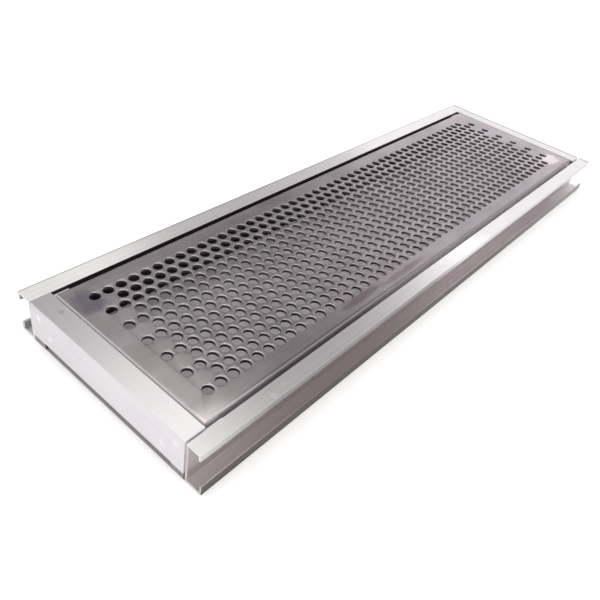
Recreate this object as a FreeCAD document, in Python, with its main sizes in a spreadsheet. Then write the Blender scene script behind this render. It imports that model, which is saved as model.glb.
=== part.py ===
import FreeCAD, Part

# Baguette tray: a perforated plate that lies in a shallow rectangular frame.
# Two lipped channels run along the front and the back, open sides outwards, and two angles join them at the ends.
# The plate's folded edges stand on two ledges. A flat crumb tray slides on two runners below it, and comes out
# through a relief in the lower edge of the left end.
#
# Row frame: +X along the length, +Y towards the back, +Z up. The origin is under the middle, on the resting plane.
# Every size is a cell of the sheet, in millimetres, and every expression is a sum or difference of cells.

import os

import Sketcher
from FreeCAD import Placement, Rotation, Vector

SIZES = [
    ("length", 660.0, "whole length of the frame"),
    ("half_length", 330.0, "half of the length"),
    ("height", 38.0, "whole height of the frame"),
    ("opening", 172.0, "width between the two rail webs"),
    ("half_opening", 86.0, "half of that width"),
    ("wall", 2.0, "wall of the rails and of the end angles"),
    ("edge_round", 0.5, "small round along the edges of the sections"),
    ("front_top_reach", 13.0, "front rail: top flange, from the web's inner face"),
    ("back_top_reach", 15.5, "back rail: top flange, from the web's inner face"),
    ("bottom_reach", 15.5, "rails: bottom flange, from the web's inner face"),
    ("front_top_lip", 6.0, "front rail: depth of the turned-down lip, flange included"),
    ("back_top_lip", 7.5, "back rail: depth of the turned-down lip, flange included"),
    ("bottom_lip", 8.0, "rails: height of the turned-up lip, flange included"),
    ("end_reach", 17.0, "end angle: width of its flat top"),
    ("end_gap", 1.8, "end angle: gap left at the front rail"),
    ("relief_width", 143.0, "left end: width of the relief for the crumb tray"),
    ("relief_height", 5.5, "left end: height of that relief"),
    ("plate_length", 624.0, "perforated plate, over its folds"),
    ("plate_width", 164.0, "perforated plate, over its folds"),
    ("plate_sheet", 1.5, "sheet of the perforated plate"),
    ("fold_depth", 15.0, "depth of the plate's folded edges"),
    ("fold_round", 2.5, "outer radius of the folds"),
    ("fold_inside", 1.0, "inner radius of the folds"),
    ("pitch", 12.0, "distance from hole to hole along a row"),
    ("row_pitch", 10.392, "distance from row to row: pitch times the sine of 60 degrees"),
    ("hole_radius", 4.25, "radius of the holes"),
    ("ledge_sheet", 1.5, "ledge: sheet"),
    ("ledge_reach", 14.0, "ledge: width of its top leg"),
    ("ledge_height", 13.0, "ledge: whole height"),
    ("ledge_length", 580.0, "ledge: length"),
    ("ledge_rivet", 6.0, "ledge: height of its rivets above its lower edge"),
    ("runner_sheet", 1.2, "runner: sheet"),
    ("runner_reach", 24.0, "runner: width of its lower leg"),
    ("runner_height", 9.0, "runner: whole height"),
    ("runner_length", 655.0, "runner: length"),
    ("runner_rivet", 5.3, "runner: height of its rivets"),
    ("tray_length", 656.0, "crumb tray, over its rims"),
    ("tray_width", 142.0, "crumb tray, over its rims"),
    ("tray_sheet", 0.8, "crumb tray: sheet"),
    ("tray_height", 3.0, "crumb tray: height of its rims"),
    ("tray_round", 1.2, "crumb tray: outer radius of its bends"),
    ("tray_corner", 2.0, "crumb tray: outer radius of its corners"),
    ("tray_inside", 0.4, "crumb tray: inner radius of its bends"),
    ("tray_lift", 0.1, "crumb tray: clearance above the runners"),
    ("tray_inset", 1.0, "crumb tray: how far it stands back from the left end's outer face"),
    ("cleat_sheet", 2.5, "corner cleat: sheet"),
    ("cleat_arm", 30.0, "corner cleat: length of each arm"),
    ("cleat_height", 24.0, "corner cleat: height"),
    ("cleat_bottom", 10.0, "corner cleat: height of its lower edge above the resting plane"),
    ("cleat_round", 3.0, "corner cleat: outer radius of its bend"),
    ("cleat_near", 10.0, "corner cleat: upper rivet, distance from the corner"),
    ("cleat_far", 23.0, "corner cleat: lower rivet, distance from the corner"),
    ("cleat_high", 18.0, "corner cleat: upper rivet, height above the lower edge"),
    ("cleat_low", 6.0, "corner cleat: lower rivet, height above the lower edge"),
    ("shank_radius", 1.5, "rivet: shank"),
    ("head_radius", 2.6, "rivet: flush head"),
    ("head_depth", 1.1, "rivet: depth of the flush head"),
    ("tail_radius", 2.3, "rivet: closed tail"),
    ("tail_height", 1.5, "rivet: height of the closed tail"),
    ("rivet_room", 0.05, "rivet: clearance in its hole, on the radius"),
]
SIZE = {name: value for name, value, _ in SIZES}

HOLES_PER_ROW = 48
MAIN_ROWS = 7          # the first, third ... rows, counted from the back
SHIFTED_ROWS = 6       # the rows between them, moved along by one and a half pitches
LEDGE_RIVETS = (-240.0, -120.0, 0.0, 120.0, 240.0)
RUNNER_RIVETS = (-280.0, -140.0, 0.0, 140.0, 280.0)
THROUGH = 4.0          # how far a cutter passes the wall it cuts

FRONT = Vector(0, -1, 0)
BACK = Vector(0, 1, 0)
LEFT = Vector(-1, 0, 0)
RIGHT = Vector(1, 0, 0)
UP = Vector(0, 0, 1)

doc = FreeCAD.newDocument("baguette_tray")
sheet = doc.addObject("Spreadsheet::Sheet", "dims")
for row, (name, value, note) in enumerate(SIZES, start=1):
    sheet.set(f"A{row}", name)
    sheet.set(f"B{row}", str(value))
    sheet.set(f"C{row}", note)
    sheet.setAlias(f"B{row}", name)
doc.recompute()


# ---------------------------------------------------------------- sheet expressions

def terms(text):
    """Splits a text such as "height - wall" or "- half_opening" into (sign, cell or number) pairs."""
    sign = 1
    for word in text.split():
        if word in "+-":
            sign = 1 if word == "+" else -1
        else:
            yield sign, word


def number(text):
    """The value of such a text."""
    return sum(sign * (SIZE[word] if word in SIZE else float(word)) for sign, word in terms(text))


def minus(text):
    """The same text with every sign turned round."""
    return " ".join(("+ " if sign < 0 else "- ") + word for sign, word in terms(text))


def formula(text):
    """The same text as an expression on the sheet."""
    pieces = [("-" if sign < 0 else "+") + (f"dims.{word}" if word in SIZE else word) for sign, word in terms(text)]
    return "".join(pieces).lstrip("+")


def bind(thing, **properties):
    """Binds properties of an object to the sheet."""
    for key, text in properties.items():
        thing.setExpression(key, formula(text))


# ---------------------------------------------------------------- sketches and bodies

def new_body(name):
    return doc.addObject("PartDesign::Body", name)


def plane(body, role):
    """One of the body's own origin planes or axes."""
    return next(part for part in body.Origin.OriginFeatures if part.Role == role)


def new_sketch(body, name, role):
    sketch = body.newObject("Sketcher::SketchObject", name)
    sketch.AttachmentSupport = [(plane(body, role), "")]
    sketch.MapMode = "FlatFace"
    return sketch


def fix_point(sketch, line, x_text, y_text):
    """Holds the start point, or the centre, of a sketch element at a place given by the sheet."""
    spot = 3 if isinstance(sketch.Geometry[line], Part.Circle) else 1
    for kind, axis, text in (("DistanceX", -2, x_text), ("DistanceY", -1, y_text)):
        if number(text) == 0:
            sketch.addConstraint(Sketcher.Constraint("PointOnObject", line, spot, axis))
        else:
            index = sketch.addConstraint(Sketcher.Constraint(kind, -1, 1, line, spot, number(text)))
            sketch.setExpression(f"Constraints[{index}]", formula(text))


def outline(body, name, role, corners):
    """A closed outline of straight lines through the corners."""
    sketch = new_sketch(body, name, role)
    points = [Vector(number(x), number(y), 0) for x, y in corners]
    for start, end in zip(points, points[1:] + points[:1]):
        sketch.addGeometry(Part.LineSegment(start, end))
    count = len(points)
    for line in range(count):
        sketch.addConstraint(Sketcher.Constraint("Coincident", line, 2, (line + 1) % count, 1))
    for line, (x, y) in enumerate(corners):
        fix_point(sketch, line, x, y)
    return sketch


def rectangle(body, name, role, half_width, half_depth):
    """A rectangle about the origin."""
    left = minus(half_width)
    low = minus(half_depth)
    return outline(body, name, role, [(left, low), (half_width, low), (half_width, half_depth), (left, half_depth)])


def pad(body, sketch, length, symmetric=False):
    feature = body.newObject("PartDesign::Pad", body.Name + "_pad")
    feature.Profile = sketch
    feature.SideType = "Symmetric" if symmetric else "One side"
    bind(feature, Length=length)
    doc.recompute()
    return feature


def pocket(body, sketch, depth, name, reverse=False):
    """Cuts the sketch into the body, and stops if nothing was cut."""
    before = body.Shape.Volume
    feature = body.newObject("PartDesign::Pocket", body.Name + "_" + name)
    feature.Profile = sketch
    feature.Reversed = reverse
    bind(feature, Length=depth)
    doc.recompute()
    if not body.Shape.Volume < before - 0.1:
        raise RuntimeError(f"{feature.Name} cuts nothing")
    return feature


def edge_names(shape, wanted):
    return [f"Edge{index}" for index, edge in enumerate(shape.Edges, start=1) if wanted(edge)]


def fillet(body, name, radius, wanted):
    """Rounds the edges that pass a test."""
    feature = body.newObject("PartDesign::Fillet", body.Name + "_" + name)
    base = body.Tip if body.Tip is not feature else feature.BaseFeature
    feature.Base = (base, edge_names(base.Shape, wanted))
    bind(feature, Radius=radius)
    doc.recompute()
    return feature


def runs_along(axis):
    """A test for straight edges parallel to an axis."""
    def test(edge):
        start, end = edge.Vertexes[0].Point, edge.Vertexes[-1].Point
        return isinstance(edge.Curve, Part.Line) and (end - start).normalize().cross(axis).Length < 1e-6
    return test


def lies_at(height):
    """A test for edges that lie flat at one height."""
    def test(edge):
        return all(abs(vertex.Point.z - height) < 1e-6 for vertex in edge.Vertexes)
    return test


def place(thing, at, turn=0.0):
    """Puts an object at a point given by three texts, turned about +Z."""
    x, y, z = at
    thing.Placement = Placement(Vector(number(x), number(y), number(z)), Rotation(UP, turn))
    for axis, text in zip("xyz", at):
        thing.setExpression(f"Placement.Base.{axis}", formula(text))
    doc.recompute()


# ---------------------------------------------------------------- rivets and their holes

def cylinder(name, radius, height, base):
    part = doc.addObject("Part::Cylinder", name)
    bind(part, Radius=radius, Height=height)
    part.setExpression("Placement.Base.z", formula(base))
    return part


def cone(name, low_radius, top_radius, height, base):
    part = doc.addObject("Part::Cone", name)
    bind(part, Radius1=low_radius, Radius2=top_radius, Height=height)
    part.setExpression("Placement.Base.z", formula(base))
    return part


def joined(name, pieces, at, outward):
    """One solid of stacked pieces, moved so that its own +Z points outward at the point."""
    whole = doc.addObject("Part::MultiFuse", name)
    whole.Shapes = pieces
    whole.Placement = Placement(at, Rotation(UP, outward))
    return whole


def rivet(name, at, outward, grip):
    """A flush rivet: its head is level with the outer face at the point, and its tail closes behind the grip."""
    pieces = [
        cone(name + "_head", "shank_radius", "head_radius", "head_depth", "- head_depth"),
        cylinder(name + "_shank", "shank_radius", grip + " - head_depth", minus(grip)),
        cylinder(name + "_tail", "tail_radius", "tail_height", minus(grip + " + tail_height")),
    ]
    return joined(name, pieces, at, outward)


def rivet_hole(name, at, outward, through):
    """The cutter for a rivet's hole: a countersink level with the outer face, and a bore behind it."""
    pieces = [
        cone(name + "_sink", "shank_radius + rivet_room", "head_radius + rivet_room", "head_depth", "- head_depth"),
        cylinder(name + "_bore", "shank_radius + rivet_room", through + " - head_depth", minus(through)),
    ]
    return joined(name, pieces, at, outward)


def drilled(blank, name, seats, grip):
    """The blank with a hole for each rivet seat (point, outward direction)."""
    through = f"{grip} + {THROUGH}"
    cutters = [rivet_hole(f"{name}_hole_{i}", at, outward, through) for i, (at, outward) in enumerate(seats)]
    tool = doc.addObject("Part::Compound", name + "_holes")
    tool.Links = cutters
    cut = doc.addObject("Part::Cut", name)
    cut.Base = blank
    cut.Tool = tool
    doc.recompute()
    if not cut.Shape.Volume < blank.Shape.Volume - 0.1:
        raise RuntimeError(f"{name} has no holes")
    return cut


def riveted(name, seats, grip):
    """A group of rivets, one for each seat, as one sub-part of separate solids."""
    group = doc.addObject("Part::Compound", name)
    group.Links = [rivet(f"{name}_{i}", at, outward, grip) for i, (at, outward) in enumerate(seats)]
    return group


# ---------------------------------------------------------------- where the rivets sit

def rail_face(x, side, z):
    """A point on the outer face of a rail's web."""
    return Vector(x, side.y * number("half_opening + wall"), z)


def ledge_seats(side):
    z = number("height - fold_depth - ledge_height + ledge_rivet")
    return [(rail_face(x, side, z), side) for x in LEDGE_RIVETS]


def runner_seats(side):
    return [(rail_face(x, side, number("runner_rivet")), side) for x in RUNNER_RIVETS]


def cleat_rows():
    """The two rivet places on a cleat's arm: (distance from the corner, height)."""
    return [(number("cleat_near"), number("cleat_bottom + cleat_high")),
            (number("cleat_far"), number("cleat_bottom + cleat_low"))]


def cleat_rail_seats(side, end):
    return [(rail_face(end.x * (number("half_length - wall") - away), side, z), side) for away, z in cleat_rows()]


def cleat_end_seats(side, end):
    return [(Vector(end.x * number("half_length"), side.y * (number("half_opening") - away), z), end)
            for away, z in cleat_rows()]


# ---------------------------------------------------------------- the sub-parts

def rail(name, side):
    """Lipped channel: an upright web with a flange outwards at the top and at the bottom, each with a lip."""
    body = new_body(name + "_blank")
    side_name = "front" if side is FRONT else "back"
    reach = side_name + "_top_reach"
    lip_end = "height - " + side_name + "_top_lip"
    corners = [
        ("0", "0"), ("bottom_reach", "0"), ("bottom_reach", "bottom_lip"),
        ("bottom_reach - wall", "bottom_lip"), ("bottom_reach - wall", "wall"), ("wall", "wall"),
        ("wall", "height - wall"), (reach + " - wall", "height - wall"), (reach + " - wall", lip_end),
        (reach, lip_end), (reach, "height"), ("0", "height"),
    ]
    pad(body, outline(body, name + "_section", "YZ_Plane", corners), "length", symmetric=True)
    fillet(body, "rounds", "edge_round", runs_along(RIGHT))
    if side is FRONT:
        place(body, ("0", "- half_opening", "0"), 180)
    else:
        place(body, ("0", "half_opening", "0"))
    seats = ledge_seats(side) + runner_seats(side) + cleat_rail_seats(side, LEFT) + cleat_rail_seats(side, RIGHT)
    return drilled(body, name, seats, "wall")


def angle_corners(sheet_name, height, reach, leg_on_top):
    """Outline of an angle that stands at 0 and reaches along +X of its sketch."""
    if leg_on_top:
        under = height + " - " + sheet_name
        return [("0", "0"), (sheet_name, "0"), (sheet_name, under), (reach, under), (reach, height), ("0", height)]
    return [("0", "0"), (reach, "0"), (reach, sheet_name), (sheet_name, sheet_name), (sheet_name, height),
            ("0", height)]


def end_angle(name, end):
    """Angle across the frame, with its flat top inwards. It touches the back rail and stops short of the front."""
    body = new_body(name + "_blank")
    corners = angle_corners("wall", "height", "end_reach", leg_on_top=True)
    section = outline(body, name + "_section", "XZ_Plane", corners)
    pad(body, section, "opening - end_gap", symmetric=True)
    fillet(body, "rounds", "edge_round", runs_along(BACK))
    middle = SIZE["end_gap"] / 2
    if end is LEFT:
        half = number("relief_width") / 2
        corners = [(f"- {half} - {middle}", "0"), (f"{half} - {middle}", "0"),
                   (f"{half} - {middle}", "relief_height"), (f"- {half} - {middle}", "relief_height")]
        pocket(body, outline(body, name + "_relief", "YZ_Plane", corners), "wall + wall", "relief", reverse=True)
        place(body, ("- half_length", str(middle), "0"))
    else:
        place(body, ("half_length", str(middle), "0"), 180)
    return drilled(body, name, cleat_end_seats(FRONT, end) + cleat_end_seats(BACK, end), "wall")


def ledge(name, side):
    """Angle on the rail's inner face, whose top leg carries the plate's folded edge."""
    body = new_body(name + "_blank")
    corners = angle_corners("ledge_sheet", "ledge_height", "ledge_reach", leg_on_top=True)
    pad(body, outline(body, name + "_section", "YZ_Plane", corners), "ledge_length", symmetric=True)
    stand_on_web(body, side, "height - fold_depth - ledge_height")
    return drilled(body, name, ledge_seats(side), "wall + ledge_sheet")


def runner(name, side):
    """Low angle on the rail's inner face, whose lower leg carries the crumb tray."""
    body = new_body(name + "_blank")
    corners = angle_corners("runner_sheet", "runner_height", "runner_reach", leg_on_top=False)
    pad(body, outline(body, name + "_section", "YZ_Plane", corners), "runner_length", symmetric=True)
    stand_on_web(body, side, "0")
    return drilled(body, name, runner_seats(side), "wall + runner_sheet")


def stand_on_web(body, side, z):
    """Puts an angle against the inner face of a rail's web, reaching inwards."""
    if side is FRONT:
        place(body, ("0", "- half_opening", z))
    else:
        place(body, ("0", "half_opening", z), 180)


def corner_cleat(name, side, end):
    """Bent cleat in a corner of the frame, one arm on the rail's web and one on the end's."""
    body = new_body(name + "_blank")
    corners = [("0", "0"), ("cleat_arm", "0"), ("cleat_arm", "cleat_sheet"), ("cleat_sheet", "cleat_sheet"),
               ("cleat_sheet", "cleat_arm"), ("0", "cleat_arm")]
    pad(body, outline(body, name + "_section", "XY_Plane", corners), "cleat_height")
    fillet(body, "bend", "cleat_round", lambda edge: all(abs(end.X) + abs(end.Y) < 1e-6 for end in edge.Vertexes))
    turn = {(-1, -1): 0, (1, -1): 90, (1, 1): 180, (-1, 1): 270}[(int(end.x), int(side.y))]
    x = "half_length - wall" if end is RIGHT else "- half_length + wall"
    y = "half_opening" if side is BACK else "- half_opening"
    place(body, (x, y, "cleat_bottom"), turn)
    seats = cleat_rail_seats(side, end) + cleat_end_seats(side, end)
    return drilled(body, name, seats, "wall + cleat_sheet")


def folded_pan(name, half_length, half_width, depth, sheet_name, corner, bend, inside, opening_up):
    """A shallow pan of folded sheet, open at the top or at the bottom, as a body with its floor and four rims."""
    body = new_body(name)
    pad(body, rectangle(body, name + "_outside", "XY_Plane", half_length, half_width), depth)
    fillet(body, "corners", corner, runs_along(UP))
    closed_face = 0.0 if opening_up else number(depth)
    fillet(body, "bends", bend, lies_at(closed_face))
    inner_length = half_length + " - " + sheet_name
    inner_width = half_width + " - " + sheet_name
    hollow = rectangle(body, name + "_inside", "XY_Plane", inner_length, inner_width)
    if opening_up:
        hollow.setExpression("AttachmentOffset.Base.z", formula(depth))
    pocket(body, hollow, depth + " - " + sheet_name, "hollow", reverse=not opening_up)
    floor = number(sheet_name) if opening_up else number(depth + " - " + sheet_name)
    fillet(body, "inner_bends", inside, lies_at(floor))
    return body


def hole_rows(body, name, first_x, first_y, rows):
    """One round hole, repeated along the row and then row by row towards the front."""
    sketch = new_sketch(body, name + "_hole", "XY_Plane")
    sketch.addGeometry(Part.Circle(Vector(number(first_x), number(first_y), 0), UP, SIZE["hole_radius"]))
    fix_point(sketch, 0, first_x, first_y)
    index = sketch.addConstraint(Sketcher.Constraint("Radius", 0, SIZE["hole_radius"]))
    sketch.setExpression(f"Constraints[{index}]", formula("hole_radius"))
    before = body.Shape.Volume
    first = pocket(body, sketch, "fold_depth", name, reverse=True)
    pattern = body.newObject("PartDesign::LinearPattern", body.Name + "_" + name + "_pattern")
    pattern.Originals = [first]
    pattern.Refine = False
    pattern.Direction = (sketch, ["H_Axis"])
    pattern.Mode = "Extent"
    pattern.Occurrences = HOLES_PER_ROW
    pattern.Direction2 = (sketch, ["V_Axis"])
    pattern.Reversed2 = True
    pattern.Mode2 = "Extent"
    pattern.Occurrences2 = rows
    pattern.setExpression("Length", f"dims.pitch * {HOLES_PER_ROW - 1}")
    pattern.setExpression("Length2", f"dims.row_pitch * {2 * (rows - 1)}")
    body.Tip = pattern
    doc.recompute()
    punched = (before - body.Shape.Volume) / (Part.Face(Part.Wire(sketch.Shape.Edges)).Area * SIZE["plate_sheet"])
    if round(punched) != HOLES_PER_ROW * rows:
        raise RuntimeError(f"{name}: {punched:.1f} holes were cut")


def perforated_plate(name):
    """Folded plate with thirteen rows of holes, every second row moved along by one and a half pitches."""
    body = folded_pan(name, str(SIZE["plate_length"] / 2), str(SIZE["plate_width"] / 2), "fold_depth", "plate_sheet",
                      "fold_round", "fold_round", "fold_inside", opening_up=False)
    reach_x = (HOLES_PER_ROW + 0.5) * SIZE["pitch"] / 2
    reach_y = (MAIN_ROWS + SHIFTED_ROWS - 1) * SIZE["row_pitch"] / 2
    hole_rows(body, "main_rows", f"- {reach_x}", f"{reach_y}", MAIN_ROWS)
    hole_rows(body, "shifted_rows", f"- {reach_x} + pitch + {SIZE['pitch'] / 2}", f"{reach_y} - row_pitch",
              SHIFTED_ROWS)
    place(body, ("0", "0", "height - fold_depth"))
    return body


def crumb_tray(name):
    """Flat pan with low rims, on the runners, its left rim just inside the relief of the left end."""
    body = folded_pan(name, str(SIZE["tray_length"] / 2), str(SIZE["tray_width"] / 2), "tray_height", "tray_sheet",
                      "tray_corner", "tray_round", "tray_inside", opening_up=True)
    place(body, (f"- half_length + tray_inset + {SIZE['tray_length'] / 2}", "0", "runner_sheet + tray_lift"))
    return body


# ---------------------------------------------------------------- the assembly

SIDES = {"front": FRONT, "back": BACK}
ENDS = {"left": LEFT, "right": RIGHT}

nodes = {}
for side_name, side in SIDES.items():
    nodes[f"{side_name}_rail"] = rail(f"{side_name}_rail", side)
    nodes[f"{side_name}_ledge"] = ledge(f"{side_name}_ledge", side)
    nodes[f"{side_name}_runner"] = runner(f"{side_name}_runner", side)
    nodes[f"{side_name}_ledge_rivets"] = riveted(f"{side_name}_ledge_rivets", ledge_seats(side), "wall + ledge_sheet")
    nodes[f"{side_name}_runner_rivets"] = riveted(f"{side_name}_runner_rivets", runner_seats(side),
                                                  "wall + runner_sheet")
    for end_name, end in ENDS.items():
        corner = f"{side_name}_{end_name}"
        nodes[f"corner_cleat_{corner}"] = corner_cleat(f"corner_cleat_{corner}", side, end)
        seats = cleat_rail_seats(side, end) + cleat_end_seats(side, end)
        nodes[f"cleat_rivets_{corner}"] = riveted(f"cleat_rivets_{corner}", seats, "wall + cleat_sheet")
for end_name, end in ENDS.items():
    nodes[f"{end_name}_end"] = end_angle(f"{end_name}_end", end)
nodes["perforated_plate"] = perforated_plate("perforated_plate")
nodes["crumb_tray"] = crumb_tray("crumb_tray")
doc.recompute()

failed = [thing.Name for thing in doc.Objects if {"Invalid", "Error"} & set(thing.State)]
if failed:
    raise RuntimeError("these objects failed: " + ", ".join(failed))
for name, thing in nodes.items():
    thing.Label = name
    if thing.Shape.isNull() or not thing.Shape.isValid() or not thing.Shape.Solids:
        raise RuntimeError(name + " has no valid solid")

os.makedirs("parts", exist_ok=True)
for name, thing in nodes.items():
    thing.Shape.exportStep(f"parts/{name}.step")
    print(f"{name}: {len(thing.Shape.Solids)} solid(s), {thing.Shape.Volume / 1000:.2f} cm3")
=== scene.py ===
import math

import bpy
from mathutils import Matrix, Vector
from mathutils.geometry import delaunay_2d_cdt


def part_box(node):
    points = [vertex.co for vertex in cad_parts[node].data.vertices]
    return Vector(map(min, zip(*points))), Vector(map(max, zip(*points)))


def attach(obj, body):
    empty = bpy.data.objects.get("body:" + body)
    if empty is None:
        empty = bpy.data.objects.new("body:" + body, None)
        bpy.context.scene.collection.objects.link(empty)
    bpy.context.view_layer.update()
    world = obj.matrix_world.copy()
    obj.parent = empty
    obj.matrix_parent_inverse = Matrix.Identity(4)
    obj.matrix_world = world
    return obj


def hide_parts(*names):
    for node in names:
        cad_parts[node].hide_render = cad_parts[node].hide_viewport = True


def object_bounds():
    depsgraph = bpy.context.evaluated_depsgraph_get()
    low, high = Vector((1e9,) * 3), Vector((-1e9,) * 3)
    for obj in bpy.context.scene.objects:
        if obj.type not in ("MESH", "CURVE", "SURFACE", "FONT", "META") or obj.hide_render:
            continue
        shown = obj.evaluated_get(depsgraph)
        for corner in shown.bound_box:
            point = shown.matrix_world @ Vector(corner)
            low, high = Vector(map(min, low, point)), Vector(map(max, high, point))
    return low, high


# Looks of the baguette tray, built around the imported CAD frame. Lengths are in metres.
# The perforated plate is a new mesh with rolled hole rims.
# The other nodes keep their CAD shape and get a material.

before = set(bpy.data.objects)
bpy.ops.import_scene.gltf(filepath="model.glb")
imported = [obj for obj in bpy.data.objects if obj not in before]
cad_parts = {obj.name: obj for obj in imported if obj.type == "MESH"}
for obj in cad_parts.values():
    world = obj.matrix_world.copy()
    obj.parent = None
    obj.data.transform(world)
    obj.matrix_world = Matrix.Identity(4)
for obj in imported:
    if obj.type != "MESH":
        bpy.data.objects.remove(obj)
cad_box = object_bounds()
frame_low, frame_high = cad_box
rail_low, rail_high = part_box("front_rail")
plate_low, plate_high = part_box("perforated_plate")
tray_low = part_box("crumb_tray")[0]

# ---------------------------------------------------------------- driving sizes of the frame

TOP = frame_high.z
WALL = 0.002
TOP_REACH = 0.013           # front rail: its top flange, from the web's inner face
TOP_LIP_DEPTH = 0.006       # front rail: its turned-down lip, flange included
BOTTOM_LIP_HEIGHT = 0.008   # rails: their turned-up lip, flange included
RELIEF_HEIGHT = 0.0055      # left end: its relief for the crumb tray
END_REACH = 0.017           # ends: their flat top
END_GAP = 0.0018            # ends: the gap left at the front rail

# ---------------------------------------------------------------- driving sizes of the plate

PITCH = 0.012
ROW_PITCH = PITCH * math.sin(math.radians(60))
HOLE_RADIUS = 0.00425
HOLES_PER_ROW = 48
ROWS = 13
ROW_SHIFT = 1.5 * PITCH
SHEET = 0.0015
FOLD_OUTSIDE = 0.0025
FOLD_INSIDE = 0.0010
EDGE_BREAK = 0.00015
HOLE_SEGMENTS = 24
CORNER_STEPS = 8
FOLD_STEPS = 6
TOP_FOLD_STEPS = 2          # how many of the fold's steps keep the finish of the flat

# Each hole is rolled over at the top and drawn down into a short collar below the sheet
ROLL_RADIUS = 0.0008
ROLL_STEPS = 2
COLLAR_DEPTH = 0.0028
COLLAR_WALL = 0.0004


# ---------------------------------------------------------------- small node helpers

def node(tree, kind, sockets=None, **settings):
    """A new node with its settings and its input sockets set or linked."""
    made = tree.nodes.new(kind)
    for key, value in settings.items():
        setattr(made, key, value)
    for key, value in (sockets or {}).items():
        plug(tree, made.inputs[key], value)
    return made


def plug(tree, socket, value):
    """Links another node's output to the socket, or sets its value."""
    if isinstance(value, bpy.types.NodeSocket):
        tree.links.new(value, socket)
    elif value is not None:
        socket.default_value = value


def maths(tree, operation, *values, clamp=False):
    made = node(tree, "ShaderNodeMath", dict(enumerate(values)), operation=operation, use_clamp=clamp)
    return made.outputs[0]


def vector_maths(tree, operation, *values):
    made = node(tree, "ShaderNodeVectorMath", dict(enumerate(values)), operation=operation)
    return made.outputs["Value" if operation in ("DOT_PRODUCT", "LENGTH", "DISTANCE") else "Vector"]


def remap(tree, value, low, high, to_low=0.0, to_high=1.0, smooth=False):
    """The value mapped from low..high to to_low..to_high, held at the ends."""
    made = node(tree, "ShaderNodeMapRange",
                {"Value": value, "From Min": low, "From Max": high, "To Min": to_low, "To Max": to_high},
                interpolation_type="SMOOTHSTEP" if smooth else "LINEAR", clamp=True)
    return made.outputs["Result"]


def mix_colour(tree, factor, first, second, blend="MIX"):
    made = node(tree, "ShaderNodeMix", {0: factor, 6: first, 7: second}, data_type="RGBA", blend_type=blend)
    return made.outputs[2]


def stretched_noise(tree, place, scale, detail=3.0, roughness=0.5, turn=0.0):
    """Noise with its own scale, per metre, along each axis, turned about Z."""
    mapping = node(tree, "ShaderNodeMapping", {"Vector": place, "Rotation": (0.0, 0.0, turn), "Scale": scale})
    moved = mapping.outputs["Vector"]
    noise = node(tree, "ShaderNodeTexNoise",
                 {"Vector": moved, "Scale": 1.0, "Detail": detail, "Roughness": roughness})
    return noise.outputs["Fac"]


def rgba(red, green, blue):
    return (red, green, blue, 1.0)


# ---------------------------------------------------------------- metal

SCRATCH_SETS = (            # (turn about Z, noise scale per metre along each axis)
    (0.55, (900.0, 14.0, 40.0)),
    (-0.9, (1300.0, 22.0, 60.0)),
    (1.9, (700.0, 9.0, 30.0)),
)
# The ways that the grain runs
AXIS_X = (1.0, 0.0, 0.0)
AXIS_Y = (0.0, 1.0, 0.0)
LINE_HEIGHT = 0.0000025
SCRATCH_DEPTH = 0.000004
TANGENT_NUDGE = (0.0011, 0.0013, 0.0017)    # keeps the tangent from vanishing on faces across the grain


def inside_range(tree, value, low, high, soft=0.0003):
    """1 where low < value < high and 0 elsewhere, with soft edges. A bound of None is left open."""
    inside = None
    if low is not None:
        inside = remap(tree, value, low - soft, low + soft)
    if high is not None:
        under = remap(tree, value, high - soft, high + soft, 1.0, 0.0)
        inside = under if inside is None else maths(tree, "MULTIPLY", inside, under)
    return inside


def tinted(tree, colour, tint):
    return mix_colour(tree, 1.0, colour, tint, blend="MULTIPLY")


def graded(tree, value, tint, *steps):
    """A tint that gives way to the tint of each step, (low, high, tint), as the value passes it."""
    for low, high, after in steps:
        tint = mix_colour(tree, remap(tree, value, low, high), tint, after)
    return tint


def blotch(tree, place, centre, reach, mottle, softness=0.35):
    """1 inside a ragged soft-edged patch with the given half-widths, 0 outside."""
    offset = vector_maths(tree, "SUBTRACT", place, centre)
    scaled = vector_maths(tree, "DIVIDE", offset, reach)
    distance = vector_maths(tree, "LENGTH", scaled)
    ragged = maths(tree, "ADD", distance, remap(tree, mottle, 0.3, 0.7, -0.3, 0.3))
    return remap(tree, ragged, 1.0 - softness, 1.0 + softness, 1.0, 0.0, smooth=True)


def scratch_mask(tree, place, strength):
    """Fine scratches that run three ways: up to the given strength on a scratch, 0 elsewhere."""
    scratch = None
    for turn, scale in SCRATCH_SETS:
        streak = stretched_noise(tree, place, scale, detail=1.0, turn=turn)
        thin = remap(tree, streak, 0.735, 0.76)
        scratch = thin if scratch is None else maths(tree, "MAXIMUM", scratch, thin)
    return maths(tree, "MULTIPLY", scratch, strength)


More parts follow.
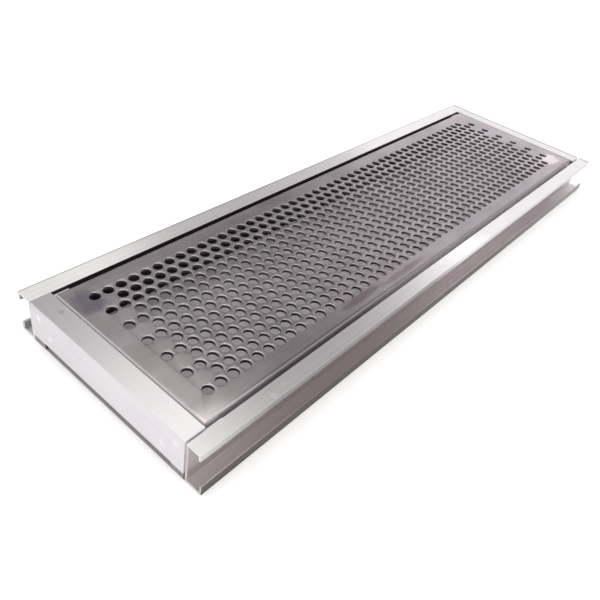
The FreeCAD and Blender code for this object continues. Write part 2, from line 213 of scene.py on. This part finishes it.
def metal(name, tint, tint_far, roughness, grain_axis, anisotropy=0.0, grain=1.0, wave=0.0, scratches=0.5,
          marks=(), zones=None, metallic=1.0, drift=0.0, dull=None):
    """Sheet or extruded metal.

    tint and tint_far: the two colours that it drifts between.
    grain_axis: the way its fine lines run. grain and scratches: how strong the lines and the scratches are.
    wave: the height of its slow unevenness. drift: how much its brightness wanders over the surface.
    marks: stains, scuffs, painted highlights and painted reflections, each (centre, half-widths, tint).
    zones: a function that gives, at each place, a tint that paints light and shade onto the piece.
    dull: a function that gives 1 on faces with a dull skin, which scatter light instead of mirroring it."""
    material = bpy.data.materials.new(name)
    material.use_nodes = True
    tree = material.node_tree
    shader = tree.nodes["Principled BSDF"]
    place = node(tree, "ShaderNodeTexCoord").outputs["Object"]
    normal = node(tree, "ShaderNodeNewGeometry").outputs["Normal"]

    fine = [4.0 if along else 2600.0 for along in grain_axis]
    broad = [1.5 if along else 420.0 for along in grain_axis]
    lines = stretched_noise(tree, place, fine, detail=2.0)
    bands = stretched_noise(tree, place, broad, detail=3.0)
    clouds = stretched_noise(tree, place, (14.0, 22.0, 30.0), detail=4.0, roughness=0.6)
    mottle = stretched_noise(tree, place, (130.0, 130.0, 130.0), detail=5.0, roughness=0.65)
    scratch = scratch_mask(tree, place, scratches)

    # Colour: the two tints in clouds, times the grain, the mottle, the scratches and the wandering brightness
    colour = mix_colour(tree, remap(tree, clouds, 0.35, 0.65), rgba(*tint), rgba(*tint_far))
    shade = maths(tree, "ADD", remap(tree, bands, 0.3, 0.7, 1.0 - 0.05 * grain, 1.0 + 0.02 * grain),
                  remap(tree, lines, 0.3, 0.7, -0.03 * grain, 0.03 * grain))
    shade = maths(tree, "ADD", shade, remap(tree, mottle, 0.55, 0.75, 0.0, -0.05))
    shade = maths(tree, "ADD", shade, maths(tree, "MULTIPLY", scratch, 0.10))
    if drift:
        wander = stretched_noise(tree, place, (26.0, 44.0, 44.0), detail=2.0, roughness=0.55)
        shade = maths(tree, "ADD", shade, remap(tree, wander, 0.3, 0.7, -drift, drift))
    grey = node(tree, "ShaderNodeCombineColor", {"Red": shade, "Green": shade, "Blue": shade})
    colour = tinted(tree, colour, grey.outputs["Color"])
    # Marks: real stains and scuffs, and painted highlights and reflections
    for centre, reach, stain_and_highlight in marks:
        spot = blotch(tree, place, centre, reach, mottle)
        colour = mix_colour(tree, spot, colour, tinted(tree, colour, rgba(*stain_and_highlight)))
    # Painted light and shade, given as a tint at each place
    if zones:
        colour = tinted(tree, colour, zones(tree, place))
    if dull:
        metallic = maths(tree, "SUBTRACT", metallic, dull(tree, place))

    rough = maths(tree, "ADD", roughness, remap(tree, clouds, 0.3, 0.7, -0.03, 0.03))
    rough = maths(tree, "ADD", rough, remap(tree, bands, 0.3, 0.7, -0.03 * grain, 0.03 * grain))
    rough = maths(tree, "ADD", rough, maths(tree, "MULTIPLY", scratch, 0.12), clamp=True)

    slow = stretched_noise(tree, place, (9.0, 13.0, 13.0), detail=1.0)
    height = maths(tree, "MULTIPLY", slow, wave)
    height = maths(tree, "ADD", height, maths(tree, "MULTIPLY", lines, LINE_HEIGHT * grain))
    height = maths(tree, "SUBTRACT", height, maths(tree, "MULTIPLY", scratch, SCRATCH_DEPTH))
    bump = node(tree, "ShaderNodeBump", {"Height": height, "Strength": 1.0, "Distance": 1.0})

    plug(tree, shader.inputs["Base Color"], colour)
    plug(tree, shader.inputs["Metallic"], metallic)
    plug(tree, shader.inputs["Roughness"], rough)
    plug(tree, shader.inputs["Normal"], bump.outputs["Normal"])
    if anisotropy:
        across = vector_maths(tree, "CROSS_PRODUCT", normal, grain_axis)
        across = vector_maths(tree, "ADD", across, TANGENT_NUDGE)
        plug(tree, shader.inputs["Anisotropic"], anisotropy)
        plug(tree, shader.inputs["Tangent"], across)
    return material


# ---------------------------------------------------------------- painted light and shade over the pieces

# Each function below gives the painted light and shade of one kind of piece at each place, as a tint: 1 keeps
# the metal's own colour.

SKIN = 0.0004           # how far the tint of a face reaches into the wall behind it
RIM_WIDTH = 0.0012      # width of the painted shade along the back edge, and of the crumb tray's rim with its painted shade
END_RIM_WIDTH = 0.003   # width of the painted shade along the edge at the right end
EDGE_ROUND = 0.0005     # round along the edges of the sections

WHITE = rgba(1.0, 1.0, 1.0)
RAIL_TOP = rgba(0.96, 0.96, 0.96)
# Painted reflection along the back rail: darker at its left end, brighter in the middle
BACK_RAIL_LEFT_SHADE = rgba(0.90, 0.90, 0.90)
BACK_RAIL_MIDDLE_SHEEN = rgba(1.13, 1.13, 1.13)
# Painted shade along the far edge of the back rail and at the right end of the rails
FAR_EDGE_SHADE = rgba(0.42, 0.41, 0.41)
# Painted shade inside the front channel and on its lower lip, darker towards the right
CHANNEL_SHADE_LEFT = rgba(0.76, 0.70, 0.71)
CHANNEL_SHADE_RIGHT = rgba(0.66, 0.62, 0.63)
# Painted shade on the outer face of the front rail's lower lip, darkest at its foot as a painted contact
# shadow
LOW_LIP_FOOT_SHADOW = rgba(0.10, 0.09, 0.095)
LOW_LIP_SHADE_LEFT = rgba(0.18, 0.155, 0.16)
LOW_LIP_SHADE_RIGHT = rgba(0.30, 0.275, 0.285)
# Painted shade on the outer face of the front rail's turned-down lip, deeper along part of its length
HIGH_LIP_SHADE = rgba(0.78, 0.78, 0.79)
HIGH_LIP_DEEP_SHADE = rgba(0.40, 0.385, 0.39)
# Painted shade: a dark band on the back rail's inner face, seen in the gap behind the plate
BACK_GAP_SHADE = rgba(0.05, 0.045, 0.05)
BACK_GAP_START, BACK_GAP_END = 0.0006, 0.0075   # depths between which the back rail's inner face is painted dark, as the shade in the gap behind the plate

# Painted light and shade on the ends: a lilac tint on the left end's outer face, shade at its foot, on the
# right end and along its far edge
LEFT_FACE_LIGHT_TINT = rgba(0.99, 0.97, 1.00)
LEFT_FOOT_SHADE = rgba(0.42, 0.40, 0.41)
RIGHT_END_SHADE = rgba(0.93, 0.92, 0.93)
RIGHT_EDGE_SHADE = rgba(0.46, 0.45, 0.45)
# Painted shade on the crumb tray's left rim, seen under the left end
TRAY_RIM_SHADE = rgba(0.34, 0.33, 0.34)

# Painted light and shade on the plate: reflection along its length, a highlight at the front left corner and
# shade on the front bend
PLATE_MIDDLE_SHADE = rgba(0.90, 0.895, 0.91)
PLATE_RIGHT_SHEEN = rgba(1.10, 1.08, 1.115)
PLATE_CORNER_HIGHLIGHT = rgba(1.75, 1.75, 1.72)
PLATE_HIGHLIGHT_REACH = (0.030, 0.016, 0.016)
PLATE_BEND_SHADE = rgba(0.62, 0.60, 0.61)
FRONT_PAINT_BEGINS, FRONT_PAINT_FULL = -0.295, -0.24    # the painted light and shade along the plate's front bend and fold fades in between these two X
# Painted light and shade on the plate's front fold
FOLD_BEND_SHADE = rgba(0.50, 0.48, 0.49)
FOLD_LEFT_SHADE = rgba(0.60, 0.58, 0.59)
FOLD_RIGHT_LIGHT = rgba(1.55, 1.55, 1.55)
# Painted light on the hole walls towards the right and the front
HOLE_RIGHT_LIGHT = rgba(2.1, 2.1, 2.15)


def axes(tree, place):
    """The place's X, Y and Z."""
    split = node(tree, "ShaderNodeSeparateXYZ", {"Vector": place}).outputs
    return split["X"], split["Y"], split["Z"]


def both(tree, first, second):
    return maths(tree, "MULTIPLY", first, second)


def rail_zones(tree, place):
    """Painted light and shade on the rails: shade in the front channel and on its lips, a dark band in the
    back gap, shade along the far edges, and a reflection that changes along the back rail.
    """
    along, back, up = axes(tree, place)
    web = rail_high.y
    lip_face = web - TOP_REACH
    foot_face = rail_low.y
    rightwards = remap(tree, along, 0.06, 0.32, smooth=True)

    behind = inside_range(tree, back, 0.0, None)
    before = inside_range(tree, back, None, 0.0)
    channel = both(tree, inside_range(tree, back, lip_face + WALL - SKIN, 0.0),
                   inside_range(tree, up, None, TOP - WALL + SKIN))
    low_lip = both(tree, before, inside_range(tree, up, None, BOTTOM_LIP_HEIGHT + SKIN))
    low_lip_face = both(tree, low_lip, inside_range(tree, back, None, foot_face + SKIN))
    high_lip_face = both(tree, inside_range(tree, back, lip_face - 2 * EDGE_ROUND, lip_face + SKIN),
                         inside_range(tree, up, TOP - TOP_LIP_DEPTH - SKIN, TOP - SKIN))
    # where the painted shade of the back gap lies
    back_gap = both(tree, inside_range(tree, back, 0.0, -web + EDGE_ROUND),
                    inside_range(tree, up, TOP - BACK_GAP_END, TOP - BACK_GAP_START))
    # where the painted shade along the far edges lies
    far_edge = maths(tree, "MAXIMUM", inside_range(tree, back, -foot_face - RIM_WIDTH, None),
                     inside_range(tree, along, frame_high.x - END_RIM_WIDTH, None))

    # painted reflection: the back rail's brightness changes along its length
    back_rail_sheen = graded(tree, along, BACK_RAIL_LEFT_SHADE, (-0.31, -0.24, BACK_RAIL_MIDDLE_SHEEN), (-0.04, 0.06, RAIL_TOP))
    # painted shade in the front channel and on its lower lip
    channel_shade = mix_colour(tree, rightwards, CHANNEL_SHADE_LEFT, CHANNEL_SHADE_RIGHT)
    # painted shade on the lower lip's outer face, with a painted contact shadow at its foot
    low_lip_shade = graded(tree, up, LOW_LIP_FOOT_SHADOW, (0.0008, 0.0025, LOW_LIP_SHADE_LEFT))
    low_lip_shade = mix_colour(tree, rightwards, low_lip_shade, LOW_LIP_SHADE_RIGHT)
    # the stretch where the turned-down lip gets deeper painted shade
    deep_shade_stretch = inside_range(tree, along, -0.295, -0.03, soft=0.03)
    high_lip_shade = mix_colour(tree, deep_shade_stretch, HIGH_LIP_SHADE, HIGH_LIP_DEEP_SHADE)

    # The rails' painted light and shade, laid one over another
    tint = mix_colour(tree, behind, RAIL_TOP, back_rail_sheen)
    tint = mix_colour(tree, far_edge, tint, FAR_EDGE_SHADE)
    tint = mix_colour(tree, maths(tree, "MAXIMUM", channel, low_lip), tint, channel_shade)
    tint = mix_colour(tree, low_lip_face, tint, low_lip_shade)
    tint = mix_colour(tree, high_lip_face, tint, high_lip_shade)
    return mix_colour(tree, back_gap, tint, BACK_GAP_SHADE)


def end_zones(tree, place):
    """Painted light and shade on the ends: a pale lilac tint on the left end's outer face, a dark strip along
    the foot of the left end, a darker right end and a dark edge at the far right.
    """
    along, _, up = axes(tree, place)
    foot = both(tree, inside_range(tree, along, None, frame_low.x + WALL),
                inside_range(tree, up, None, RELIEF_HEIGHT - EDGE_ROUND))
    # painted light on the left end's outer face, then painted shade at its foot, on the right end and at its
    # far edge
    tint = mix_colour(tree, inside_range(tree, along, None, frame_low.x + SKIN), WHITE, LEFT_FACE_LIGHT_TINT)
    tint = mix_colour(tree, foot, tint, LEFT_FOOT_SHADE)
    tint = mix_colour(tree, inside_range(tree, along, 0.0, None), tint, RIGHT_END_SHADE)
    return mix_colour(tree, inside_range(tree, along, frame_high.x - END_RIM_WIDTH, None), tint, RIGHT_EDGE_SHADE)


def rivet_zones(tree, place):
    """The painted light and shade of the rail or the end that a dressed rivet's head lies in."""
    along, _, _ = axes(tree, place)
    in_end = inside_range(tree, maths(tree, "ABSOLUTE", along), frame_high.x - WALL, None)
    return mix_colour(tree, in_end, rail_zones(tree, place), end_zones(tree, place))


def corner_gap(tree, place):
    """1 on the two faces of the narrow gap between an end's cut edge and the front rail's web."""
    along, back, _ = axes(tree, place)
    web, margin = rail_high.y, 0.0002
    near_ends = inside_range(tree, maths(tree, "ABSOLUTE", along), frame_high.x - END_REACH - 0.001, None)
    return both(tree, near_ends, inside_range(tree, back, web - margin, web + END_GAP + margin, soft=0.0001))


def tray_zones(tree, place):
    """Painted shade: the crumb tray's left rim is darker than the rest."""
    along, _, _ = axes(tree, place)
    return mix_colour(tree, inside_range(tree, along, None, tray_low.x + RIM_WIDTH), WHITE, TRAY_RIM_SHADE)


def plate_zones(tree, place):
    """Painted light and shade on the plate: a painted highlight at the front left corner, a painted
    reflection darker in the middle and paler at the right, and painted shade on the front bend.
    """
    along, back, _ = axes(tree, place)
    offset = vector_maths(tree, "SUBTRACT", place, (plate_low.x + 0.004, plate_low.y + 0.002, plate_high.z))
    from_corner = vector_maths(tree, "LENGTH", vector_maths(tree, "DIVIDE", offset, PLATE_HIGHLIGHT_REACH))
    bend = both(tree, inside_range(tree, back, None, plate_low.y + FOLD_OUTSIDE, soft=0.0006),
                remap(tree, along, FRONT_PAINT_BEGINS, FRONT_PAINT_FULL))
    # painted reflection along the plate, then a painted highlight at its front left corner
    tint = graded(tree, along, WHITE, (-0.06, 0.02, PLATE_MIDDLE_SHADE), (0.16, 0.30, PLATE_RIGHT_SHEEN))
    tint = mix_colour(tree, remap(tree, from_corner, 1.0, 0.0, smooth=True), tint, PLATE_CORNER_HIGHLIGHT)
    return mix_colour(tree, bend, tint, PLATE_BEND_SHADE)


def hole_zones(tree, place):
    """Painted light: the hole walls are paler towards the right and the front."""
    along, back, _ = axes(tree, place)
    share = both(tree, remap(tree, along, -0.12, 0.08), remap(tree, back, 0.045, 0.0))
    return mix_colour(tree, share, WHITE, HOLE_RIGHT_LIGHT)


def fold_zones(tree, place):
    """Painted light and shade on the front fold: dark at its bend, and below it darker at the left and paler
    towards the right.
    """
    along, back, up = axes(tree, place)
    front = both(tree, inside_range(tree, back, None, plate_low.y + FOLD_OUTSIDE),
                 remap(tree, along, FRONT_PAINT_BEGINS, FRONT_PAINT_FULL))
    below_bend_light = graded(tree, along, FOLD_LEFT_SHADE, (-0.16, -0.04, FOLD_RIGHT_LIGHT))
    tint = mix_colour(tree, remap(tree, up, TOP - 0.0012, TOP - 0.0028), FOLD_BEND_SHADE, below_bend_light)
    return mix_colour(tree, front, WHITE, tint)


# ---------------------------------------------------------------- the metals

# Marks on the tops of the pieces, scuffs and stains, and painted highlights and reflections: (centre,
# half-widths, tint)
SCUFF = (1.12, 1.11, 1.13)
RAIL_SCUFFS_AND_HIGHLIGHT = [
    ((-0.262, -0.0955, TOP), (0.0022, 0.0022, 0.0022), SCUFF),
    ((-0.249, -0.0925, TOP), (0.0016, 0.0016, 0.0016), SCUFF),
    # a painted highlight on the front rail's top
    ((0.012, -0.096, TOP), (0.034, 0.020, 0.03), (1.14, 1.14, 1.15)),
]
END_MARKS = [
    ((-0.3195, 0.062, TOP), (0.0022, 0.0022, 0.0022), (0.80, 0.79, 0.80)),
]
# Painted reflections on the plate: a blue-grey patch at the back left, darker brownish streaks along the
# front margin and a bright highlight at the front right
PLATE_PAINTED_REFLECTIONS = [
    ((-0.298, 0.060, TOP), (0.011, 0.014, 0.01), (0.62, 0.65, 0.73)),
    ((-0.128, -0.0715, TOP), (0.024, 0.0035, 0.01), (0.66, 0.60, 0.60)),
    ((-0.068, -0.0740, TOP), (0.030, 0.0030, 0.01), (0.74, 0.68, 0.68)),
    ((0.287, -0.063, TOP), (0.016, 0.0095, 0.01), (1.75, 1.75, 1.72)),
]
ALUMINIUM = ((0.86, 0.865, 0.845), (0.87, 0.855, 0.865))

rail_metal = metal("mill_aluminium_lengthwise", *ALUMINIUM, 0.38, AXIS_X, anisotropy=1.0, scratches=0.6,
                   marks=RAIL_SCUFFS_AND_HIGHLIGHT, zones=rail_zones, dull=corner_gap)
end_metal = metal("mill_aluminium_crosswise", (0.87, 0.86, 0.86), (0.88, 0.86, 0.88), 0.38, AXIS_Y,
                  anisotropy=1.0, scratches=0.6, marks=END_MARKS, zones=end_zones, dull=corner_gap)
rail_rivet_metal = metal("dressed_rail_rivet", *ALUMINIUM, 0.38, AXIS_X, anisotropy=1.0, scratches=0.4,
                         zones=rivet_zones)
cleat_rivet_metal = metal("dressed_cleat_rivet", (0.86, 0.86, 0.85), (0.87, 0.86, 0.87), 0.38, AXIS_Y,
                          scratches=0.4, zones=rivet_zones)
plate_metal = metal("satin_stainless", (0.345, 0.315, 0.32), (0.37, 0.345, 0.355), 0.24, AXIS_X,
                    anisotropy=0.35, grain=0.7, wave=0.0006, scratches=0.5, drift=0.12,
                    marks=PLATE_PAINTED_REFLECTIONS, zones=plate_zones)
# Painted light: the plate's folded edge is a paler, less metallic copy of its stainless, so it looks lit in
# the gap
fold_light_metal = metal("folded_edge", (0.60, 0.57, 0.58), (0.62, 0.59, 0.61), 0.42, AXIS_X, grain=0.5,
                   scratches=0.3, metallic=0.5, zones=fold_zones)
# Painted shade: the hole walls are a much darker copy of the plate's stainless
hole_wall_shade_metal = metal("punched_edge", (0.16, 0.145, 0.15), (0.20, 0.18, 0.19), 0.45, AXIS_X, scratches=0.2,
                   zones=hole_zones)
tray_metal = metal("cold_rolled_stainless", (0.78, 0.745, 0.76), (0.82, 0.79, 0.80), 0.50, AXIS_X, grain=0.6,
                   scratches=0.8, metallic=0.3, drift=0.06, zones=tray_zones)
# Painted shade: the ledges and runners under the plate are dark, as the shade below it
shaded_sheet_metal = metal("folded_sheet", (0.16, 0.15, 0.155), (0.20, 0.19, 0.19), 0.45, AXIS_X, grain=0.5,
                     scratches=0.8)
cleat_metal = metal("cleat_sheet", (0.80, 0.78, 0.79), (0.84, 0.82, 0.83), 0.55, AXIS_X, grain=0.5,
                    scratches=0.8, metallic=0.15)

# The metal of a node is that of the first of these words in its name
METALS = {
    "cleat_rivets": cleat_rivet_metal,
    "rivets": rail_rivet_metal,
    "cleat": cleat_metal,
    "rail": rail_metal,
    "end": end_metal,
    "crumb_tray": tray_metal,
    "ledge": shaded_sheet_metal,
    "runner": shaded_sheet_metal,
}
for name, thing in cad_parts.items():
    if name != "perforated_plate":
        word = next(word for word in METALS if word in name)
        thing.data.materials.clear()
        thing.data.materials.append(METALS[word])


# ---------------------------------------------------------------- the perforated plate

# Material numbers of its faces
FLAT, HOLE_WALL, FOLD = range(3)


def hole_centres():
    """The hole centres, row by row from the back, every second row moved along."""
    first_x = -(HOLES_PER_ROW + 0.5) * PITCH / 2
    first_y = (ROWS - 1) * ROW_PITCH / 2
    for row in range(ROWS):
        start = first_x + (ROW_SHIFT if row % 2 else 0.0)
        for column in range(HOLES_PER_ROW):
            yield start + column * PITCH, first_y - row * ROW_PITCH


def fold_profile(top, bottom):
    """The folded edge's section from the flat's top, round the outside and back to the flat's underside.
    Each point is (distance outwards, height)."""
    centre = top - FOLD_OUTSIDE
    turns = [math.pi / 2 * step / FOLD_STEPS for step in range(FOLD_STEPS + 1)]

    def arc(radius):
        return [(radius * math.sin(turn), centre + radius * math.cos(turn)) for turn in turns]

    points = arc(FOLD_OUTSIDE)
    points += [
        (FOLD_OUTSIDE, bottom + EDGE_BREAK),
        (FOLD_OUTSIDE - EDGE_BREAK, bottom),
        (FOLD_INSIDE + EDGE_BREAK, bottom),
        (FOLD_INSIDE, bottom + EDGE_BREAK),
    ]
    return points + arc(FOLD_INSIDE)[::-1]


def hole_profile():
    """A hole's section from the sheet's top down its wall, round the collar's end and up to the underside.
    Each point is (distance outside the hole's radius, depth below the top)."""
    turns = [math.pi / 2 * step / ROLL_STEPS for step in range(ROLL_STEPS + 1)]
    roll = [(ROLL_RADIUS * (1 - math.sin(turn)), ROLL_RADIUS * (1 - math.cos(turn))) for turn in turns]
    return roll + [(0.0, COLLAR_DEPTH), (COLLAR_WALL, COLLAR_DEPTH), (COLLAR_WALL, SHEET)]


def plate_mesh(low, high):
    """Vertices, faces and material numbers of the whole plate as one closed skin."""
    top, bottom = high.z, low.z
    flat_x, flat_y = high.x - FOLD_OUTSIDE, high.y - FOLD_OUTSIDE
    corners = [(-flat_x, -flat_y), (flat_x, -flat_y), (flat_x, flat_y), (-flat_x, flat_y)]
    centres = list(hole_centres())
    turns = [2 * math.pi * step / HOLE_SEGMENTS for step in range(HOLE_SEGMENTS)]
    rings = [(HOLE_RADIUS + out, top - down) for out, down in hole_profile()]

    outline = [Vector(corner) for corner in corners]
    edges = [(i, (i + 1) % 4) for i in range(4)]
    reach = rings[0][0]
    for x, y in centres:
        first = len(outline)
        outline += [Vector((x + reach * math.cos(turn), y + reach * math.sin(turn))) for turn in turns]
        edges += [(first + i, first + (i + 1) % HOLE_SEGMENTS) for i in range(HOLE_SEGMENTS)]
    found, _, triangles, _, _, _ = delaunay_2d_cdt(outline, edges, [], 1, 1e-7)
    if len(found) != len(outline):
        raise RuntimeError("the flat of the plate was cut up in an unexpected way")

    verts = []
    faces = []
    kinds = []

    def add(points):
        first = len(verts)
        verts.extend(points)
        return first

    def face(corner_numbers, kind):
        distinct = list(dict.fromkeys(corner_numbers))
        if len(distinct) > 2:
            faces.append(distinct)
            kinds.append(kind)

    top_corners = add([(x, y, top) for x, y in corners])
    low_corners = add([(x, y, top - SHEET) for x, y in corners])
    ring_start = []
    for x, y in centres:
        ring_start.append(len(verts))
        for radius, z in rings:
            add([(x + radius * math.cos(turn), y + radius * math.sin(turn), z) for turn in turns])

    def on_sheet(number, underside):
        if number < 4:
            return (low_corners if underside else top_corners) + number
        hole, step = divmod(number - 4, HOLE_SEGMENTS)
        ring = len(rings) - 1 if underside else 0
        return ring_start[hole] + ring * HOLE_SEGMENTS + step

    for triangle in triangles:
        owners = {(number - 4) // HOLE_SEGMENTS for number in triangle}
        if len(owners) == 1 and min(triangle) >= 4:
            continue
        a, b, c = (outline[number] for number in triangle)
        if (b - a).cross(c - a) < 0:
            triangle = triangle[::-1]
        face([on_sheet(number, False) for number in triangle], FLAT)
        face([on_sheet(number, True) for number in reversed(triangle)], FLAT)

    for start in ring_start:
        for ring in range(len(rings) - 1):
            kind = FLAT if ring < ROLL_STEPS else HOLE_WALL
            upper = start + ring * HOLE_SEGMENTS
            lower = upper + HOLE_SEGMENTS
            for step in range(HOLE_SEGMENTS):
                after = (step + 1) % HOLE_SEGMENTS
                face([upper + step, upper + after, lower + after, lower + step], kind)

    profile = fold_profile(top, bottom)
    columns = []
    for number, (x, y) in enumerate(corners):
        for step in range(CORNER_STEPS + 1):
            turn = math.radians(-180 + 90 * number + 90 * step / CORNER_STEPS)
            inner = profile[1:-1]
            first = add([(x + out * math.cos(turn), y + out * math.sin(turn), z) for out, z in inner])
            columns.append([top_corners + number, *range(first, first + len(inner)), low_corners + number])
    for column, beside in zip(columns, columns[1:] + columns[:1]):
        for step in range(len(profile) - 1):
            kind = FLAT if step < TOP_FOLD_STEPS else FOLD
            face([column[step], column[step + 1], beside[step + 1], beside[step]], kind)
    return verts, faces, kinds


verts, faces, kinds = plate_mesh(plate_low, plate_high)
mesh = bpy.data.meshes.new("plate_sheet")
mesh.from_pydata(verts, [], faces)
mesh.polygons.foreach_set("material_index", kinds)
mesh.shade_smooth()
mesh.set_sharp_from_angle(angle=math.radians(50))
for finish in (plate_metal, hole_wall_shade_metal, fold_light_metal):
    mesh.materials.append(finish)
plate = bpy.data.objects.new("plate_sheet", mesh)
bpy.context.scene.collection.objects.link(plate)
even = plate.modifiers.new("even_flats", "WEIGHTED_NORMAL")
even.keep_sharp = True
even.weight = 60
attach(plate, "plate")
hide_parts("perforated_plate")


# ---------------------------------------------------------------- floor, light and camera

def pale_floor():
    """A pale, dull floor that glows a little, with a painted shadow under the frame, where it is dark and
    does not glow.
    """
    size, drop, glow = 14.0, 0.0004, 0.10
    mesh = bpy.data.meshes.new("floor")
    corners = [(-size, -size, 0), (size, -size, 0), (size, size, 0), (-size, size, 0)]
    mesh.from_pydata(corners, [], [(0, 1, 2, 3)])
    floor = bpy.data.objects.new("floor", mesh)
    floor.location.z = cad_box[0][2] - drop
    bpy.context.scene.collection.objects.link(floor)
    material = bpy.data.materials.new("pale_floor")
    material.use_nodes = True
    tree = material.node_tree
    place = node(tree, "ShaderNodeTexCoord").outputs["Object"]
    grain = stretched_noise(tree, place, (6.0, 6.0, 6.0), detail=3.0)
    pale = mix_colour(tree, grain, rgba(0.965, 0.965, 0.965), rgba(0.98, 0.98, 0.98))
    along, back, _ = axes(tree, place)
    # Painted shadow on the floor under the frame
    shadow_under_frame = both(tree, inside_range(tree, along, frame_low.x, frame_high.x),
                       inside_range(tree, back, rail_high.y, -rail_high.y))
    shader = tree.nodes["Principled BSDF"]
    plug(tree, shader.inputs["Base Color"], mix_colour(tree, shadow_under_frame, pale, rgba(0.42, 0.40, 0.41)))
    plug(tree, shader.inputs["Roughness"], 0.9)
    plug(tree, shader.inputs["Specular IOR Level"], 0.1)
    plug(tree, shader.inputs["Emission Color"], WHITE)
    plug(tree, shader.inputs["Emission Strength"], remap(tree, shadow_under_frame, 0.0, 1.0, glow, 0.0))
    mesh.materials.append(material)


def studio_light():
    """A soft grey room: a softbox overhead, a pale wall at the right with a bright strip, and a dim front.
    Each is set out by the X, Y and Z of the way towards it."""
    world = bpy.data.worlds.new("studio")
    world.use_nodes = True
    tree = world.node_tree
    way = vector_maths(tree, "NORMALIZE", node(tree, "ShaderNodeTexCoord").outputs["Generated"])
    right, back, up = axes(tree, way)

    def ramps(*steps):
        """The product of smooth ramps, each (value, where it is 0, where it is 1)."""
        share = None
        for value, low, high in steps:
            ramp = remap(tree, value, low, high, smooth=True)
            share = ramp if share is None else both(tree, share, ramp)
        return share

    softbox = ramps((right, 0.53, 0.41), (right, -0.85, -0.65), (back, 0.70, 0.42), (back, -0.85, -0.65),
                    (up, 0.15, 0.35))
    wall = remap(tree, right, 0.68, 0.77)
    strip = both(tree, ramps((right, 0.765, 0.785)), remap(tree, right, 0.795, 0.85, 1.0, 0.56, smooth=True))
    front = ramps((back, -0.05, -0.35), (up, 0.0, 0.25))
    glows = (
        (softbox, rgba(1.15, 1.18, 1.13)),
        (wall, rgba(0.30, 0.29, 0.30)),
        (strip, rgba(0.70, 0.69, 0.70)),
        (front, rgba(0.12, 0.12, 0.12)),
    )
    colour = rgba(0.49, 0.465, 0.475)
    for share, glow in glows:
        colour = mix_colour(tree, 1.0, colour, mix_colour(tree, share, rgba(0, 0, 0), glow), blend="ADD")
    plug(tree, tree.nodes["Background"].inputs["Color"], colour)
    plug(tree, tree.nodes["Background"].inputs["Strength"], 1.0)
    bpy.context.scene.world = world


def photo_camera():
    """Looks along the tray from its front left corner, from above, leaning a little to the left."""
    place = Vector((-0.4974, -0.2606, 0.3573))
    azimuth, elevation, lean = (math.radians(angle) for angle in (-55.27, 38.29, 10.36))
    back = Vector((math.sin(azimuth) * math.cos(elevation), -math.cos(azimuth) * math.cos(elevation),
                   math.sin(elevation)))
    level = Vector((0, 0, 1)).cross(back).normalized()
    upright = back.cross(level)
    right = level * math.cos(lean) + upright * math.sin(lean)
    up = upright * math.cos(lean) - level * math.sin(lean)
    data = bpy.data.cameras.new("camera")
    data.lens = 37.86
    data.sensor_width = 36.0
    data.shift_x = 0.008
    data.shift_y = -0.0165
    data.clip_start = 0.01
    camera = bpy.data.objects.new("camera", data)
    camera.matrix_world = Matrix.Translation(place) @ Matrix((right, up, back)).transposed().to_4x4()
    bpy.context.scene.collection.objects.link(camera)
    bpy.context.scene.camera = camera


pale_floor()
studio_light()
photo_camera()
bpy.context.scene.view_settings.view_transform = "Standard"
